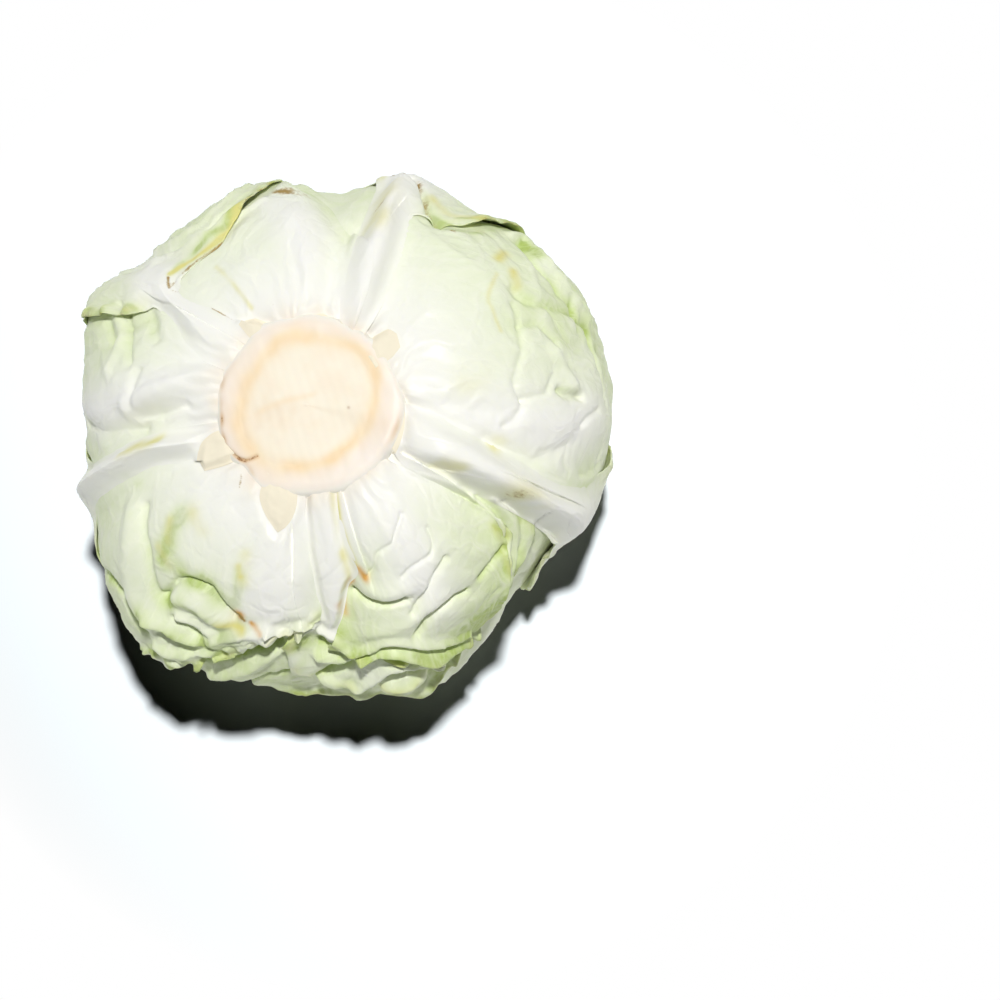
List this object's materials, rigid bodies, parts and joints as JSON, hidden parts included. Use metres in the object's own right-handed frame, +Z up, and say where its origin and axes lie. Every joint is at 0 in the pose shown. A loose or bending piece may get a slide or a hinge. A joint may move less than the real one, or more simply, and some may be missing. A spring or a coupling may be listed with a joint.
{
  "type": "iceberg lettuce",
  "caption": "Round, tightly wrapped head of crisp pale lettuce leaves, lying on its crown with the cut stem on top.",
  "frame": {"origin": "middle of the flat spot of the crown that the head rests on", "axes": "+Z up from the crown to the cut stem; clock angles in node names turn clockwise from +Y seen from the stem end, with +X at 3"},
  "size_m": [0.1648, 0.1608, 0.1362],
  "materials": {
    "cut_stem": "moist cut stem, peach with an orange ring",
    "torn_leaf_base": "torn fleshy leaf base, cream to yellow with brown edges",
    "outer_leaf": "waxy pale leaf with a thick white rib and fine veins",
    "wrapper_leaf": "waxy pale green leaf, whiter at the rib, fine branching veins",
    "inner_leaf": "smooth pale leaf, slightly bluish where it is thin",
    "heart_leaf": "tightly pressed pale leaves"
  },
  "bodies": {
    "root": {"stem_butt": "cut_stem", "leaf_stub_at_7": "torn_leaf_base", "leaf_stub_at_8": "torn_leaf_base", "leaf_stub_at_2": "torn_leaf_base", "leaf_stub_at_11": "torn_leaf_base", "leaf_stub_at_3": "torn_leaf_base", "leaf_stub_at_12": "torn_leaf_base", "outer_leaf_at_10": "outer_leaf", "outer_leaf_at_1": "outer_leaf", "outer_leaf_at_8": "outer_leaf", "outer_leaf_at_4": "outer_leaf", "outer_leaf_at_6": "outer_leaf", "wrapper_leaf_at_5": "wrapper_leaf", "wrapper_leaf_at_7": "wrapper_leaf", "wrapper_leaf_at_12": "wrapper_leaf", "wrapper_leaf_at_9": "wrapper_leaf", "wrapper_leaf_at_3": "wrapper_leaf", "inner_leaf_at_5": "inner_leaf", "inner_leaf_at_6": "inner_leaf", "inner_leaf_at_4": "inner_leaf", "inner_leaf_at_8": "inner_leaf", "inner_leaf_at_3": "inner_leaf", "inner_leaf_at_1": "inner_leaf", "heart": "heart_leaf"}
  },
  "joints": []
}
